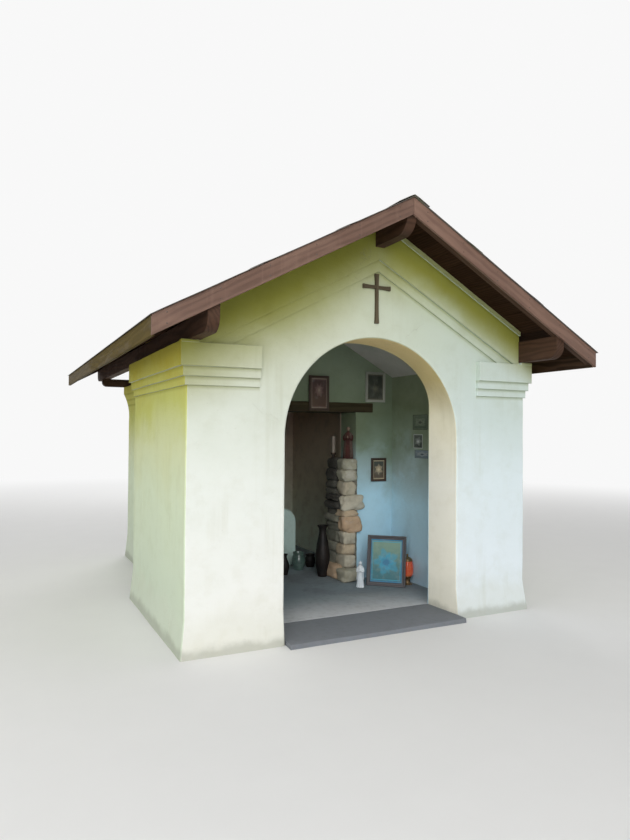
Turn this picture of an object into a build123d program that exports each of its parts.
from build123d import *
from math import cos, radians, sin
import os

# Small wayside chapel: a porch room with a round-arched doorway, a narrower
# chamber behind it, and one gabled timber roof over both.
# Millimetres. X runs across the front, Y from front to back, Z up.
# The origin is on the ground under the middle of the roof.

# Roof form
roof_half_width = 1866
roof_slope = 0.5425
front_overhang = 491
rear_overhang = 491
cover_lip = 12
cover_thickness = 12
ridge_cap_height = 8
ridge_cap_reach = 130
board_thickness = 27
rafter_depth = 90
rafter_width = 60
barge_depth = 127
barge_thickness = 25
fascia_thickness = 25
board_top_level = 3252

# Purlins and cross beam
purlin_width = 80
eaves_purlin_inset = 7
eaves_purlin_depth = 140
eaves_head_radius = 100
ridge_purlin_depth = 135
ridge_head_radius = 130
cross_beam_height = 90
cross_beam_width = 90
cross_beam_proud = 5
cross_beam_end_radius = 54

# Porch block
block_half_width = 1525
block_depth = 1800
front_wall = 350
back_wall = 350
side_wall = 440
skirt_height = 260
skirt_flare = 30

# Doorway
door_half_width = 785
door_rear_half_width = 750
door_crown = 2288

# Capitals on the front corners
capital_length = 536
capital_bands = (63, 68, 161)
fascia_steps = (12, 30, 50)
capital_weathering = 8
capital_pad_width = 125
capital_pad_height = 16
capital_pad_proud = 5

# Cornice that climbs with the gable, as levels at the ridge
rake_low = 2815
rake_mid = 2905
rake_high = 3150

# Opening between porch and chamber
inner_half_width = 645
inner_height = 1755
lintel_height = 95
lintel_bearing = 195
lintel_proud = 15
pillar_width = 165
pillar_height = 1225
pillar_courses = 9
pillar_course_step = 14
pillar_proud = 5
pillar_foot_proud = 100
pillar_foot_height = 240
pillar_seat = 0.3

# Rear chamber
chamber_half_width = 906
chamber_wall = 294
chamber_length = 1800
rear_wall_depth = 300
cove_height = 320
cove_reach = 65
cove_radius = 640
cove_band = 81

# Floors
floor_height = 45
threshold_reach = 130
threshold_drop = 10

# Ceiling of the porch room: its height over the lintel where it meets the side walls
ceiling_over_lintel = 281
ceiling_thickness = 30

# Cross on the gable
cross_height = 380
cross_width = 240
cross_bar = 26
cross_depth = 22
cross_below_cornice = 27
cross_arm_drop = 105
cross_flare = 5
cross_centre = -16

# Altar block in the chamber; its front is a distance behind the chamber's doorway
altar_half_width = 390
altar_front = 550
altar_depth = 420
altar_top = 680
altar_shoulder = 160
altar_edge = 20

# Figures, and a candle in a low round holder. Each place is a distance from the pillar's inner and front faces.
figure_slimness = 0.17
head_share = 0.075
robed_figure_height = 335
robed_figure_place = (104, 58)
candle_radius = 22
candle_height = 190
candle_holder = (30, 60)
candle_place = (55, 290)

# Vase beside the pillar, and pots before the altar as x and a distance from its front
vase_radius = 76
vase_height = 530
vase_place = (90, 110)
pot_sizes = ((50, 215), (76, 190), (60, 140))
pot_places = ((60, 430), (300, 260), (480, 180))

# Lantern and figurine. Each place is a distance from a side, and from the back wall.
lantern_radius = 58
lantern_height = 300
lantern_place = (85, 420)
white_figurine_height = 250
white_figurine_place = (572, 331)

# Framed pictures: width and height, and how far they hang from the right-hand wall
picture_thickness = 20
picture_border = 26
picture_rebate = 7
picture_gap = 15
upper_picture_size = (235, 313)
upper_picture_side = 98
lower_picture_size = (180, 243)
lower_picture_side = 79
lower_picture_foot = 1037
lintel_picture_size = (221, 350)
lintel_picture_centre = 204
lintel_picture_foot = 5

# The large picture stands on the floor, turned towards the doorway, and leans back on
# a strut. The place of its foot is a distance from the right-hand wall, and from the
# back wall.
floor_picture_size = (383, 487)
floor_picture_border = 38
floor_picture_place = (343, 425)
floor_picture_turn = 41
floor_picture_lean = 10
strut_width = 24
strut_thickness = 8
strut_top = 340
strut_spread = 170

# Cards on the right-hand wall: two distances from the back wall, lower and upper edge
card_thickness = 6
cards = ((385, 635, 1578, 1726), (400, 555, 1392, 1532), (420, 670, 1296, 1376))

# Lengths along the building
building_length = block_depth + chamber_length + rear_wall_depth
front_y = (front_overhang - building_length - rear_overhang) / 2
block_front_inside = front_y + front_wall
block_back_inside = front_y + block_depth - back_wall
block_rear = front_y + block_depth
chamber_back_inside = block_rear + chamber_length
rear_y = front_y + building_length
roof_front = front_y - front_overhang
roof_rear = rear_y + rear_overhang
deck_front = roof_front + barge_thickness
deck_rear = roof_rear - barge_thickness

# Levels at the ridge of the planes that lie parallel to the roof
cover_level = board_top_level + cover_thickness
deck_underside = board_top_level - board_thickness
rafter_underside = deck_underside - rafter_depth
barge_low_level = board_top_level - barge_depth
ridge_purlin_bottom = rafter_underside - ridge_purlin_depth
eaves_purlin_outer = block_half_width - eaves_purlin_inset
eaves_purlin_inner = eaves_purlin_outer - purlin_width
eaves_seat = rafter_underside - roof_slope * eaves_purlin_outer - eaves_purlin_depth
cross_beam_reach = block_half_width + cross_beam_proud
fascia_inner = roof_half_width - fascia_thickness
room_half_width = block_half_width - side_wall
chamber_outer = chamber_half_width + chamber_wall
lintel_half_length = inner_half_width + lintel_bearing
lintel_top = inner_height + lintel_height
pillar_inner = inner_half_width - pillar_width
pillar_front = block_back_inside - pillar_proud
pillar_top = floor_height + pillar_height
door_spring = door_crown - door_half_width
capital_top = eaves_seat - capital_pad_height
capital_high = capital_top - capital_bands[2]
capital_mid = capital_high - capital_bands[1]
capital_low = capital_mid - capital_bands[0]
capital_levels = (capital_low, capital_mid, capital_high, capital_top)
capital_reach = fascia_steps[-1]
rake_levels = (rake_low, rake_mid, rake_high, deck_underside)
cross_foot = rake_low - cross_below_cornice - cross_height
cross_arm_z = cross_foot + cross_height - cross_arm_drop
band_top = eaves_seat - cross_beam_height
cove_high = band_top - cove_band
cove_low = cove_high - cove_height
ceiling_level = lintel_top + ceiling_over_lintel + roof_slope * room_half_width
altar_y = block_rear + altar_front
floor_picture_x = room_half_width - floor_picture_place[0]
floor_picture_y = block_back_inside - floor_picture_place[1]


def slope_z(x, level):
    """Height at x of a plane parallel to the roof that has this level at the ridge."""
    return level - roof_slope * abs(x)


def upright(y):
    """Upright plane across the building at this y, seen from the front."""
    return Plane(origin=(0, y, 0), x_dir=(1, 0, 0), z_dir=(0, -1, 0))


def slope_slab(x_in, x_out, low, high, y_front, y_rear):
    """Slab of the right-hand roof slope between two levels."""
    with BuildPart() as slab:
        with BuildSketch(upright(y_front)):
            with BuildLine():
                Polyline(
                    (x_in, slope_z(x_in, low)),
                    (x_out, slope_z(x_out, low)),
                    (x_out, slope_z(x_out, high)),
                    (x_in, slope_z(x_in, high)),
                    close=True,
                )
            make_face()
        extrude(amount=y_front - y_rear)
    return slab.part


def block(x_in, x_out, y_front, y_rear, z_low, z_high):
    """Plain rectangular block between two corners."""
    with BuildPart() as body:
        with BuildSketch(Plane.XY.offset(z_low)):
            with Locations(((x_in + x_out) / 2, (y_front + y_rear) / 2)):
                Rectangle(x_out - x_in, y_rear - y_front)
        extrude(amount=z_high - z_low)
    return body.part


def skirted_wall(x_in, x_out, y_front, y_rear, top, front_flare):
    """Right-hand wall whose foot spreads outwards at its side and, if asked, its front."""
    with BuildPart() as wall:
        foot_width = x_out + skirt_flare - x_in
        foot_depth = y_rear - y_front + front_flare
        with BuildSketch(Plane.XY):
            with Locations((x_in + foot_width / 2, y_rear - foot_depth / 2)):
                Rectangle(foot_width, foot_depth)
        with BuildSketch(Plane.XY.offset(skirt_height)):
            with Locations(((x_in + x_out) / 2, (y_front + y_rear) / 2)):
                Rectangle(x_out - x_in, y_rear - y_front)
        loft()
        with BuildSketch(Plane.XY.offset(skirt_height)):
            with Locations(((x_in + x_out) / 2, (y_front + y_rear) / 2)):
                Rectangle(x_out - x_in, y_rear - y_front)
        extrude(amount=top - skirt_height)
    return wall.part


def arch_face(half_width, crown):
    """Doorway outline with a half-round head, standing on the ground line."""
    spring = crown - half_width
    with Locations((0, spring / 2)):
        Rectangle(2 * half_width, spring)
    with Locations((0, spring)):
        Circle(half_width)


# Void of the doorway: its reveal narrows from front to back under a level crown
with BuildPart() as doorway:
    with BuildSketch(upright(front_y)):
        arch_face(door_half_width, door_crown)
    with BuildSketch(upright(block_front_inside)):
        arch_face(door_rear_half_width, door_crown)
    loft()
    with BuildSketch(upright(front_y)):
        arch_face(door_half_width, door_crown)
    extrude(amount=2 * skirt_flare)

# Front piers beside the doorway
with BuildPart() as front_pier_right:
    add(skirted_wall(door_rear_half_width, block_half_width, front_y,
                     block_front_inside, door_spring, skirt_flare))
    add(doorway.part, mode=Mode.SUBTRACT)


def gable_wall(y_front, y_rear, base, x_half):
    """Gable from a base height to the roof boards, notched for the three purlins."""
    with BuildPart() as gable:
        with BuildSketch(upright(y_front)):
            with BuildLine():
                Polyline(
                    (-x_half, base),
                    (x_half, base),
                    (x_half, eaves_seat),
                    (eaves_purlin_inner, eaves_seat),
                    (eaves_purlin_inner, slope_z(eaves_purlin_inner, deck_underside)),
                    (0, deck_underside),
                    (-eaves_purlin_inner, slope_z(eaves_purlin_inner, deck_underside)),
                    (-eaves_purlin_inner, eaves_seat),
                    (-x_half, eaves_seat),
                    close=True,
                )
            make_face()
        extrude(amount=y_front - y_rear)
        add(block(-purlin_width / 2, purlin_width / 2, y_front, y_rear,
                  ridge_purlin_bottom, deck_underside), mode=Mode.SUBTRACT)
    return gable.part


# Front gable with the arch cut through its foot
with BuildPart() as front_gable:
    add(gable_wall(front_y, block_front_inside, door_spring, block_half_width))
    add(doorway.part, mode=Mode.SUBTRACT)

# Side walls of the porch room
with BuildPart() as side_wall_right:
    add(skirted_wall(room_half_width, block_half_width, block_front_inside,
                     block_back_inside, eaves_seat, 0))

# Back wall of the porch room, split beside and over its opening
with BuildPart() as back_wall_right:
    add(skirted_wall(inner_half_width, block_half_width, block_back_inside,
                     block_rear, inner_height, 0))

with BuildPart() as back_gable:
    add(gable_wall(block_back_inside, block_rear, inner_height, block_half_width))
    add(block(-lintel_half_length, lintel_half_length, block_back_inside, block_rear,
              inner_height, lintel_top), mode=Mode.SUBTRACT)

with BuildPart() as inner_lintel:
    add(block(-lintel_half_length, lintel_half_length, block_back_inside - lintel_proud,
              block_rear, inner_height, lintel_top))

# Rough stone pillars at the sides of the opening: courses that step in and out in
# turn, on a broader foot stone
course_height = pillar_height / pillar_courses
with BuildPart() as stone_pillar_right:
    for n in range(pillar_courses):
        course_bottom = floor_height + n * course_height
        add(block(pillar_inner + 2 * n % 3 * pillar_course_step,
                  inner_half_width - pillar_seat,
                  pillar_front - (n + 1) % 3 * pillar_course_step,
                  block_rear, course_bottom, course_bottom + course_height))
    with BuildSketch(Plane.XY.offset(floor_height)):
        with Locations((pillar_inner + pillar_width / 2 - pillar_foot_proud / 2,
                        pillar_front - pillar_foot_proud / 2)):
            RectangleRounded(pillar_width, 2 * pillar_foot_proud, pillar_foot_proud / 2)
    extrude(amount=pillar_foot_height)

# Capitals: three stepped bands along the front, round the corner and down the side.
# Along the side their top rises to the wall's and slopes off a little, and a pad on the
# corner carries the eaves purlin.
with BuildPart() as capital_right:
    for low, high, step in zip(capital_levels, capital_levels[1:], fascia_steps):
        with BuildSketch(Plane.XY.offset(low)):
            with BuildLine():
                Polyline(
                    (block_half_width - capital_length, front_y),
                    (block_half_width - capital_length, front_y - step),
                    (block_half_width + step, front_y - step),
                    (block_half_width + step, block_rear + step),
                    (chamber_outer + cove_reach, block_rear + step),
                    (chamber_outer + cove_reach, block_rear),
                    (block_half_width, block_rear),
                    (block_half_width, front_y),
                    close=True,
                )
            make_face()
        extrude(amount=high - low)
    capital_corner = block_half_width + capital_reach
    add(block(capital_corner - capital_pad_width, capital_corner,
              front_y - capital_reach - capital_pad_proud, front_y, capital_high,
              eaves_seat))
    add(block(block_half_width, capital_corner, front_y, block_rear + capital_reach,
              capital_top, eaves_seat))
    with BuildSketch(upright(front_y - 2 * capital_reach)):
        with BuildLine():
            Polyline(
                (block_half_width, eaves_seat),
                (block_half_width + 2 * capital_reach, eaves_seat),
                (block_half_width + 2 * capital_reach, eaves_seat - 2 * capital_weathering),
                close=True,
            )
        make_face()
    extrude(amount=-block_depth - 4 * capital_reach, mode=Mode.SUBTRACT)

# Raking cornice: three bands that step forward as they near the boards
with BuildPart() as raking_cornice_right:
    for low, high, step in zip(rake_levels, rake_levels[1:], fascia_steps):
        with BuildSketch(upright(front_y)):
            with BuildLine():
                Polyline(
                    (0, low),
                    (block_half_width, slope_z(block_half_width, low)),
                    (block_half_width, slope_z(block_half_width, high)),
                    (0, high),
                    close=True,
                )
            make_face()
            with Locations((block_half_width, capital_top / 2)):
                Rectangle(2 * capital_length, capital_top, mode=Mode.SUBTRACT)
        extrude(amount=step)
    add(block(0, purlin_width / 2, front_y - capital_reach, front_y, ridge_purlin_bottom,
              deck_underside), mode=Mode.SUBTRACT)
    add(block(eaves_purlin_inner, block_half_width, front_y - capital_reach, front_y,
              capital_top, slope_z(eaves_purlin_inner, rafter_underside)),
        mode=Mode.SUBTRACT)


def chamber_side(x_in, top_level, y_front, y_rear):
    """Right-hand chamber wall: splayed foot, coved band, top parallel to the roof."""
    cove_start = (chamber_outer, cove_low)
    cove_end = (chamber_outer + cove_reach, cove_high)
    with BuildPart() as side:
        with BuildSketch(upright(y_front)):
            with BuildLine():
                Polyline(
                    cove_start,
                    (chamber_outer, skirt_height),
                    (chamber_outer + skirt_flare, 0),
                    (x_in, 0),
                    (x_in, slope_z(x_in, top_level)),
                    (chamber_outer, slope_z(chamber_outer, top_level)),
                    (chamber_outer, band_top),
                    (chamber_outer + cove_reach, band_top),
                    cove_end,
                )
                RadiusArc(cove_start, cove_end, cove_radius)
            make_face()
        extrude(amount=y_front - y_rear)
    return side.part


# Walls of the rear chamber
with BuildPart() as chamber_wall_right:
    add(chamber_side(chamber_half_width, rafter_underside, block_rear, chamber_back_inside))

with BuildPart() as rear_wall:
    add(chamber_side(0, deck_underside, chamber_back_inside, rear_y))
    mirror(about=Plane.YZ)
    add(block(-purlin_width / 2, purlin_width / 2, chamber_back_inside, rear_y,
              ridge_purlin_bottom, deck_underside), mode=Mode.SUBTRACT)
    add(block(-cross_beam_reach, cross_beam_reach, rear_y - cross_beam_width, rear_y,
              eaves_seat - cross_beam_height, eaves_seat), mode=Mode.SUBTRACT)

# Timber cross beam in the rear wall that carries the eaves purlins
with BuildPart() as rear_cross_beam:
    add(block(-cross_beam_reach, cross_beam_reach, rear_y - cross_beam_width, rear_y,
              eaves_seat - cross_beam_height, eaves_seat))
    beam_ends = rear_cross_beam.edges().filter_by(Axis.Y).group_by(Axis.Z)[0]
    fillet(beam_ends, cross_beam_end_radius)

# Purlins with rounded heads under both overhangs
with BuildPart() as eaves_purlin_right:
    with BuildSketch(upright(deck_front)):
        with BuildLine():
            Polyline(
                (eaves_purlin_inner, eaves_seat),
                (eaves_purlin_outer, eaves_seat),
                (eaves_purlin_outer, slope_z(eaves_purlin_outer, rafter_underside)),
                (eaves_purlin_inner, slope_z(eaves_purlin_inner, rafter_underside)),
                close=True,
            )
        make_face()
    extrude(amount=deck_front - deck_rear)
    fillet(eaves_purlin_right.edges().filter_by(Axis.X).group_by(Axis.Z)[0],
           eaves_head_radius)

with BuildPart() as ridge_purlin:
    half = purlin_width / 2
    with BuildSketch(upright(deck_front)):
        with BuildLine():
            Polyline(
                (-half, ridge_purlin_bottom),
                (half, ridge_purlin_bottom),
                (half, slope_z(half, rafter_underside)),
                (0, rafter_underside),
                (-half, slope_z(half, rafter_underside)),
                close=True,
            )
        make_face()
    extrude(amount=deck_front - deck_rear)
    fillet(ridge_purlin.edges().filter_by(Axis.X).group_by(Axis.Z)[0],
           ridge_head_radius)

# Rafters: one behind each barge board, two over the porch, three over the chamber
room_length = block_back_inside - block_front_inside
rafter_places = [deck_front, deck_rear - rafter_width]
rafter_places += [block_front_inside + room_length * n / 3 - rafter_width / 2 for n in (1, 2)]
rafter_places += [block_rear + chamber_length * n / 4 - rafter_width / 2 for n in (1, 2, 3)]
with BuildPart() as rafters_right:
    for y in rafter_places:
        add(slope_slab(0, fascia_inner, rafter_underside, deck_underside, y,
                       y + rafter_width))

# Roof boards, covering and ridge cap
with BuildPart() as roof_boards_right:
    add(slope_slab(0, fascia_inner, deck_underside, board_top_level, deck_front, deck_rear))

with BuildPart() as roof_cover_right:
    add(slope_slab(0, roof_half_width + cover_lip, board_top_level, cover_level,
                   roof_front - cover_lip, roof_rear + cover_lip))

with BuildPart() as ridge_cap:
    with BuildSketch(upright(roof_front - cover_lip)):
        with BuildLine():
            Polyline(
                (0, cover_level),
                (ridge_cap_reach, slope_z(ridge_cap_reach, cover_level)),
                (ridge_cap_reach, slope_z(ridge_cap_reach, cover_level + ridge_cap_height)),
                (0, cover_level + ridge_cap_height),
                (-ridge_cap_reach, slope_z(ridge_cap_reach, cover_level + ridge_cap_height)),
                (-ridge_cap_reach, slope_z(ridge_cap_reach, cover_level)),
                close=True,
            )
        make_face()
    extrude(amount=roof_front - roof_rear - 2 * cover_lip)

# Barge boards, mitred at the ridge with a plumb joint, and eaves boards
with BuildPart() as front_barge_right:
    add(slope_slab(0, roof_half_width, barge_low_level, board_top_level, roof_front,
                   deck_front))

with BuildPart() as rear_barge_right:
    add(slope_slab(0, roof_half_width, barge_low_level, board_top_level, deck_rear,
                   roof_rear))

with BuildPart() as eaves_board_right:
    with BuildSketch(upright(deck_front)):
        with BuildLine():
            Polyline(
                (fascia_inner, slope_z(roof_half_width, barge_low_level)),
                (roof_half_width, slope_z(roof_half_width, barge_low_level)),
                (roof_half_width, slope_z(roof_half_width, board_top_level)),
                (fascia_inner, slope_z(fascia_inner, board_top_level)),
                close=True,
            )
        make_face()
    extrude(amount=deck_front - deck_rear)

# Plaster ceiling of the porch room
with BuildPart() as ceiling_right:
    add(slope_slab(0, room_half_width, ceiling_level, ceiling_level + ceiling_thickness,
                   block_front_inside, block_back_inside))

# Floors
with BuildPart() as threshold:
    with BuildSketch(Plane.XY):
        with BuildLine():
            Polyline(
                (-door_half_width, front_y - threshold_reach),
                (door_half_width, front_y - threshold_reach),
                (door_half_width, front_y),
                (door_rear_half_width, block_front_inside),
                (-door_rear_half_width, block_front_inside),
                (-door_half_width, front_y),
                close=True,
            )
        make_face()
    extrude(amount=floor_height - threshold_drop)

with BuildPart() as room_floor:
    add(block(-room_half_width, room_half_width, block_front_inside, block_back_inside,
              0, floor_height))

with BuildPart() as chamber_floor:
    add(block(-inner_half_width, inner_half_width, block_back_inside, block_rear,
              0, floor_height))
    add(block(-chamber_half_width, chamber_half_width, block_rear, chamber_back_inside,
              0, floor_height))

# Latin cross fixed flat on the gable, its ends a little wider than its bars
cross_end = cross_bar + 2 * cross_flare
with BuildPart() as gable_cross:
    with BuildSketch(upright(front_y)):
        with Locations((cross_centre, cross_foot + cross_height / 2)):
            Rectangle(cross_bar, cross_height)
        with Locations((cross_centre, cross_arm_z)):
            Rectangle(cross_width, cross_bar)
        with Locations((cross_centre, cross_foot + cross_bar / 2),
                       (cross_centre, cross_foot + cross_height - cross_bar / 2),
                       (cross_centre - (cross_width - cross_bar) / 2, cross_arm_z),
                       (cross_centre + (cross_width - cross_bar) / 2, cross_arm_z)):
            Rectangle(cross_end, cross_end)
    extrude(amount=cross_depth)

# Whitewashed altar block with rounded shoulders
with BuildPart() as altar_block:
    add(block(-altar_half_width, altar_half_width, altar_y, altar_y + altar_depth,
              floor_height, altar_top))
    fillet(altar_block.edges().filter_by(Axis.Y).group_by(Axis.Z)[-1], altar_shoulder)
    fillet(altar_block.faces().sort_by(Axis.Y)[0].edges().sort_by(Axis.Z)[1:], altar_edge)


def turned(origin, outline):
    """Solid turned about an upright axis; the outline lists radius and height."""
    with BuildPart() as solid:
        with BuildSketch(Plane(origin=origin, x_dir=(1, 0, 0), z_dir=(0, -1, 0))):
            with BuildLine():
                Line((0, 0), outline[0])
                Spline(*outline)
                Polyline(outline[-1], (0, outline[-1][1]), (0, 0))
            make_face()
        revolve(axis=Axis(origin, (0, 0, 1)))
    return solid.part


def robed(x, y, foot, height):
    """Standing figure in a long robe: flared hem, waist, shoulders, neck and head."""
    width = height * figure_slimness
    head = height * head_share
    with BuildPart() as figure:
        add(turned((x, y, foot), [
            (width, 0),
            (width * 0.8, height * 0.25),
            (width * 0.66, height * 0.52),
            (width * 0.74, height * 0.74),
            (width * 0.25, height * 0.88),
        ]))
        with Locations((x, y, foot + height - head)):
            Sphere(head)
    return figure.part


with BuildPart() as robed_figure:
    add(robed(pillar_inner + robed_figure_place[0], pillar_front + robed_figure_place[1],
              pillar_top, robed_figure_height))

with BuildPart() as white_figurine:
    add(robed(room_half_width - white_figurine_place[0],
              block_back_inside - white_figurine_place[1], floor_height,
              white_figurine_height))

with BuildPart() as pillar_candle:
    holder_radius, holder_height = candle_holder
    with Locations((pillar_inner + candle_place[0], pillar_front + candle_place[1],
                    pillar_top)):
        Cylinder(holder_radius, holder_height,
                 align=(Align.CENTER, Align.CENTER, Align.MIN))
        Cylinder(candle_radius, holder_height + candle_height,
                 align=(Align.CENTER, Align.CENTER, Align.MIN))
    fillet(pillar_candle.edges().group_by(Axis.Z)[-1], candle_radius / 4)

with BuildPart() as votive_lantern:
    lantern_x = room_half_width - lantern_place[0]
    lantern_y = block_back_inside - lantern_place[1]
    add(turned((lantern_x, lantern_y, floor_height), [
        (lantern_radius * 0.85, 0),
        (lantern_radius, lantern_height * 0.3),
        (lantern_radius * 0.95, lantern_height * 0.7),
        (lantern_radius * 0.25, lantern_height),
    ]))

with BuildPart() as tall_vase:
    vase_x = pillar_inner - vase_place[0]
    vase_y = block_rear - vase_place[1]
    add(turned((vase_x, vase_y, floor_height), [
        (vase_radius * 0.7, 0),
        (vase_radius, vase_height * 0.4),
        (vase_radius * 0.6, vase_height * 0.85),
        (vase_radius * 0.75, vase_height),
    ]))

with BuildPart() as offering_pots:
    for (radius, height), (pot_x, before_altar) in zip(pot_sizes, pot_places):
        add(turned((pot_x, altar_y - before_altar, floor_height), [
            (radius * 0.72, 0),
            (radius, height * 0.5),
            (radius * 0.8, height),
        ]))


def framed(size, plane, border):
    """Picture whose field is sunk behind its border; the plane is its front face."""
    width, height = size
    with BuildPart() as picture:
        with BuildSketch(plane):
            with Locations((0, height / 2)):
                Rectangle(width, height)
        extrude(amount=-picture_thickness)
        with BuildSketch(plane):
            with Locations((0, height / 2)):
                Rectangle(width - 2 * border, height - 2 * border)
        extrude(amount=-picture_rebate, mode=Mode.SUBTRACT)
    return picture.part


def hung(size, x, foot, face_y):
    """Picture that hangs on a wall face at this y, placed by the middle of its foot."""
    origin = (x, face_y - picture_thickness, foot)
    plane = Plane(origin=origin, x_dir=(1, 0, 0), z_dir=(0, -1, 0))
    return framed(size, plane, picture_border)


with BuildPart() as upper_picture:
    upper_x = room_half_width - upper_picture_side - upper_picture_size[0] / 2
    add(hung(upper_picture_size, upper_x, lintel_top + picture_gap, block_back_inside))

with BuildPart() as lower_picture:
    lower_x = room_half_width - lower_picture_side - lower_picture_size[0] / 2
    add(hung(lower_picture_size, lower_x, lower_picture_foot, block_back_inside))

with BuildPart() as lintel_picture:
    add(hung(lintel_picture_size, lintel_picture_centre, inner_height + lintel_picture_foot,
             block_back_inside - lintel_proud))

# The leaning picture and its strut, as they stand on a level at the origin
lean_rise = sin(radians(floor_picture_lean))
lean_run = cos(radians(floor_picture_lean))
strut_y = picture_thickness * lean_run + strut_top * lean_rise
with BuildPart() as leaning_picture:
    add(framed(floor_picture_size,
               Plane(origin=(0, 0, picture_thickness * lean_rise),
                     x_dir=(1, 0, 0), z_dir=(0, -lean_run, lean_rise)),
               floor_picture_border))
    with BuildSketch(Plane.YZ.offset(-strut_width / 2)):
        with BuildLine():
            Polyline(
                (strut_y, strut_top),
                (strut_y + strut_spread, 0),
                (strut_y + strut_spread - strut_thickness, 0),
                (strut_y - strut_thickness, strut_top - strut_thickness),
                close=True,
            )
        make_face()
    extrude(amount=strut_width)

with BuildPart() as floor_picture:
    with Locations(Location((floor_picture_x, floor_picture_y, floor_height),
                            (0, 0, -floor_picture_turn))):
        add(leaning_picture.part)

with BuildPart() as wall_cards:
    for near, far, low, high in cards:
        add(block(room_half_width - card_thickness, room_half_width,
                  block_back_inside - far, block_back_inside - near, low, high))

pieces = {
    "front_gable": front_gable.part,
    "back_gable": back_gable.part,
    "inner_lintel": inner_lintel.part,
    "rear_wall": rear_wall.part,
    "rear_cross_beam": rear_cross_beam.part,
    "ridge_purlin": ridge_purlin.part,
    "ridge_cap": ridge_cap.part,
    "threshold": threshold.part,
    "room_floor": room_floor.part,
    "chamber_floor": chamber_floor.part,
    "gable_cross": gable_cross.part,
    "altar_block": altar_block.part,
    "robed_figure": robed_figure.part,
    "white_figurine": white_figurine.part,
    "pillar_candle": pillar_candle.part,
    "votive_lantern": votive_lantern.part,
    "tall_vase": tall_vase.part,
    "offering_pots": offering_pots.part,
    "upper_picture": upper_picture.part,
    "lower_picture": lower_picture.part,
    "lintel_picture": lintel_picture.part,
    "floor_picture": floor_picture.part,
    "wall_cards": wall_cards.part,
}
pairs = {
    "front_pier": front_pier_right.part,
    "side_wall": side_wall_right.part,
    "back_wall": back_wall_right.part,
    "stone_pillar": stone_pillar_right.part,
    "capital": capital_right.part,
    "raking_cornice": raking_cornice_right.part,
    "chamber_wall": chamber_wall_right.part,
    "eaves_purlin": eaves_purlin_right.part,
    "rafters": rafters_right.part,
    "roof_boards": roof_boards_right.part,
    "roof_cover": roof_cover_right.part,
    "front_barge": front_barge_right.part,
    "rear_barge": rear_barge_right.part,
    "eaves_board": eaves_board_right.part,
    "ceiling": ceiling_right.part,
}
for name, right in pairs.items():
    pieces[name + "_right"] = right
    pieces[name + "_left"] = mirror(right, about=Plane.YZ)

os.makedirs("parts", exist_ok=True)
for name, piece in pieces.items():
    piece.label = name
    export_step(piece, f"parts/{name}.step")
